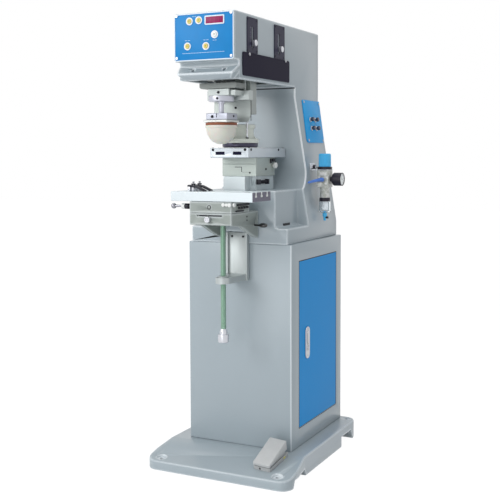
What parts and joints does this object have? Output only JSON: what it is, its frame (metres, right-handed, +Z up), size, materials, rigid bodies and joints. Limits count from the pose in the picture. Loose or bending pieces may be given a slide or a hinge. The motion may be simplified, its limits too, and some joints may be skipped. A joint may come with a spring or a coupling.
{
  "type": "pad printing machine",
  "caption": "Floor-standing pad printer: sealed ink cup and silicone pad on a travelling carriage, slotted worktable on a screw-lifted knee, cabinet base, foot pedal and air unit",
  "frame": {"origin": "on the floor under the middle of the cabinet's footprint", "axes": "+Z up, +X to the machine's right, the control panel and worktable face -Y"},
  "size_m": [0.4592, 0.6181, 1.3],
  "materials": {
    "grey_enamel": "satin grey enamel on castings and folded steel",
    "blue_enamel": "satin blue enamel on plate",
    "dark_enamel": "near-black enamel",
    "machined_aluminium": "machined, clear anodised",
    "bright_steel": "turned or ground bright steel",
    "black_oxide": "blackened steel",
    "yellow_plastic": "yellow moulded caps",
    "white_plastic": "white moulded plastic",
    "blue_plastic": "blue moulded plastic",
    "beige_plastic": "pale grey moulded plastic",
    "clear_plastic": "clear polycarbonate bowl",
    "cream_silicone": "smooth cream silicone",
    "cream_hood": "pale cream moulded hood",
    "pad_wood": "red-brown varnished wood"
  },
  "bodies": {
    "frame": {"base_casting": "grey_enamel", "cabinet_shell": "grey_enamel", "frame_casting": "grey_enamel", "control_panel": "blue_enamel", "side_cover": "dark_enamel", "scale_plate_front": "dark_enamel", "scale_plate_rear": "dark_enamel", "flow_panel": "blue_enamel", "carriage_guide": "machined_aluminium", "carriage_cylinder": "machined_aluminium", "bed_pedestal": "machined_aluminium", "bed_block": "machined_aluminium", "plate_bed": "machined_aluminium", "cliche_plate": "bright_steel", "screw_bracket": "machined_aluminium", "pedal_base": "beige_plastic", "regulator_body": "machined_aluminium", "regulator_bracket": "bright_steel", "pressure_gauge": "dark_enamel", "filter_bowl": "clear_plastic"},
    "door": {"cabinet_door": "blue_enamel", "door_lock_plate": "bright_steel"},
    "lock": {"door_lock_cylinder": "bright_steel"},
    "select_left_button": {"button_select_left": "yellow_plastic"},
    "select_right_button": {"button_select_right": "yellow_plastic"},
    "counter_button": {"button_counter": "white_plastic"},
    "start_button": {"button_start": "yellow_plastic"},
    "stop_button": {"button_stop": "yellow_plastic"},
    "front_stroke_knob": {"stroke_knob_front": "bright_steel"},
    "rear_stroke_knob": {"stroke_knob_rear": "bright_steel"},
    "flow_1": {"flow_knob_1": "bright_steel"},
    "flow_2": {"flow_knob_2": "bright_steel"},
    "flow_3": {"flow_knob_3": "bright_steel"},
    "flow_4": {"flow_knob_4": "bright_steel"},
    "carriage": {"carriage_block": "machined_aluminium", "cup_driver_plate": "machined_aluminium", "ink_cup_ring": "bright_steel", "ink_cup_hood": "cream_hood"},
    "ram": {"ram_plate": "machined_aluminium", "ram_crosshead": "machined_aluminium", "pad_slide_block": "machined_aluminium", "pad_shaft": "bright_steel", "pad_clamp": "machined_aluminium", "pad_plate": "machined_aluminium", "pad_base": "pad_wood", "print_pad": "cream_silicone"},
    "bed_clamp_knob": {"bed_knob": "white_plastic"},
    "knee": {"knee": "grey_enamel"},
    "y_feed": {"y_feed_knob": "bright_steel"},
    "knee_clamp": {"knee_lever": "black_oxide"},
    "cross_slide": {"upper_slide": "grey_enamel"},
    "x_feed": {"x_feed_knob": "bright_steel"},
    "table": {"worktable": "machined_aluminium"},
    "front_clamp": {"strap_clamp_front": "black_oxide"},
    "middle_clamp": {"strap_clamp_middle": "black_oxide"},
    "knee_screw": {"lead_screw": "bright_steel"},
    "treadle": {"pedal_treadle": "beige_plastic"},
    "pressure_knob": {"regulator_knob": "blue_plastic"},
    "drain": {"drain_cock": "blue_plastic"},
    "shutoff": {"valve_lever": "blue_plastic"}
  },
  "joints": [
    {"name": "door_hinge", "type": "hinge", "parent": "frame", "child": "door", "pos_m": [0.166, 0.148, 0.36], "axis": [0, 0, 1], "range_deg": [0, 110]},
    {"name": "lock_turn", "type": "hinge", "parent": "door", "child": "lock", "pos_m": [0.1683, -0.083, 0.342], "axis": [1, 0, 0], "range_deg": [-90, 0]},
    {"name": "carriage_travel", "type": "slide", "parent": "frame", "child": "carriage", "axis": [0, -1, 0], "range_m": [-0.118, 0]},
    {"name": "ram_travel", "type": "slide", "parent": "carriage", "child": "ram", "axis": [0, 0, -1], "range_m": [0, 0.08]},
    {"name": "knee_lift", "type": "slide", "parent": "frame", "child": "knee", "axis": [0, 0, 1], "range_m": [-0.06, 0.04]},
    {"name": "knee_screw_turn", "type": "hinge", "parent": "knee", "child": "knee_screw", "pos_m": [0, -0.295, 0.382], "axis": [0, 0, 1], "range_deg": [-5500, 3700]},
    {"name": "cross_slide_travel", "type": "slide", "parent": "knee", "child": "cross_slide", "axis": [0, 1, 0], "range_m": [-0.02, 0.02]},
    {"name": "y_feed_turn", "type": "hinge", "parent": "knee", "child": "y_feed", "pos_m": [-0.0065, -0.369, 0.7371], "axis": [0, 1, 0], "range_deg": [-3650, 3650]},
    {"name": "table_travel", "type": "slide", "parent": "cross_slide", "child": "table", "axis": [-1, 0, 0], "range_m": [-0.02, 0.02]},
    {"name": "x_feed_turn", "type": "hinge", "parent": "cross_slide", "child": "x_feed", "pos_m": [-0.066, -0.345, 0.7716], "axis": [1, 0, 0], "range_deg": [-3650, 3650]},
    {"name": "front_clamp_travel", "type": "slide", "parent": "table", "child": "front_clamp", "axis": [-1, 0, 0], "range_m": [-0.03, 0.03]},
    {"name": "middle_clamp_travel", "type": "slide", "parent": "table", "child": "middle_clamp", "axis": [-1, 0, 0], "range_m": [-0.03, 0.03]},
    {"name": "knee_clamp_turn", "type": "hinge", "parent": "knee", "child": "knee_clamp", "pos_m": [0.066, -0.228, 0.7146], "axis": [1, 0, 0], "range_deg": [-90, 90]},
    {"name": "front_stroke_travel", "type": "slide", "parent": "frame", "child": "front_stroke_knob", "axis": [0, 0, 1], "range_m": [-0.01, 0.04]},
    {"name": "rear_stroke_travel", "type": "slide", "parent": "frame", "child": "rear_stroke_knob", "axis": [0, 0, 1], "range_m": [-0.01, 0.04]},
    {"name": "bed_knob_turn", "type": "hinge", "parent": "frame", "child": "bed_clamp_knob", "pos_m": [0.055, -0.078, 0.8834], "axis": [1, 0, 0], "range_deg": [-180, 180]},
    {"name": "treadle_press", "type": "hinge", "parent": "frame", "child": "treadle", "pos_m": [0.13238, -0.31358, 0.05398], "axis": [-0.9916, 0.1266, 0.0277], "range_deg": [0, 5], "stiffness_Nm_per_rad": 10, "springref_deg": -4.58},
    {"name": "pressure_knob_turn", "type": "hinge", "parent": "frame", "child": "pressure_knob", "pos_m": [0.1705, 0.05, 0.8778], "axis": [0, 0, 1], "range_deg": [-720, 720]},
    {"name": "drain_turn", "type": "hinge", "parent": "frame", "child": "drain", "pos_m": [0.1705, 0.05, 0.7367], "axis": [0, 0, 1], "range_deg": [0, 90]},
    {"name": "shutoff_turn", "type": "hinge", "parent": "frame", "child": "shutoff", "pos_m": [0.1705, 0.023, 0.8245], "axis": [0, 0, 1], "range_deg": [0, 90]},
    {"name": "select_left_press", "type": "slide", "parent": "frame", "child": "select_left_button", "axis": [0, 1, 0], "range_m": [0, 0.0015], "stiffness_N_per_m": 500, "springref_m": -0.001},
    {"name": "select_right_press", "type": "slide", "parent": "frame", "child": "select_right_button", "axis": [0, 1, 0], "range_m": [0, 0.0015], "stiffness_N_per_m": 500, "springref_m": -0.001},
    {"name": "counter_press", "type": "slide", "parent": "frame", "child": "counter_button", "axis": [0, 1, 0], "range_m": [0, 0.0015], "stiffness_N_per_m": 500, "springref_m": -0.001},
    {"name": "start_press", "type": "slide", "parent": "frame", "child": "start_button", "axis": [0, 1, 0], "range_m": [0, 0.0015], "stiffness_N_per_m": 500, "springref_m": -0.001},
    {"name": "stop_press", "type": "slide", "parent": "frame", "child": "stop_button", "axis": [0, 1, 0], "range_m": [0, 0.0015], "stiffness_N_per_m": 500, "springref_m": -0.001},
    {"name": "flow_1_turn", "type": "hinge", "parent": "frame", "child": "flow_1", "pos_m": [0.10824, 0.084, 0.99639], "axis": [0.9864, 0, 0.1646], "range_deg": [-1800, 1800]},
    {"name": "flow_2_turn", "type": "hinge", "parent": "frame", "child": "flow_2", "pos_m": [0.10824, 0.122, 0.99639], "axis": [0.9864, 0, 0.1646], "range_deg": [-1800, 1800]},
    {"name": "flow_3_turn", "type": "hinge", "parent": "frame", "child": "flow_3", "pos_m": [0.10371, 0.084, 1.02351], "axis": [0.9864, 0, 0.1646], "range_deg": [-1800, 1800]},
    {"name": "flow_4_turn", "type": "hinge", "parent": "frame", "child": "flow_4", "pos_m": [0.10371, 0.122, 1.02351], "axis": [0.9864, 0, 0.1646], "range_deg": [-1800, 1800]}
  ],
  "couplings": [
    {"joint": "knee_screw_turn", "follows": "knee_lift", "rad_per_m": 1570.8},
    {"joint": "y_feed_turn", "follows": "cross_slide_travel", "rad_per_m": -3141.6},
    {"joint": "x_feed_turn", "follows": "table_travel", "rad_per_m": 3141.6}
  ]
}
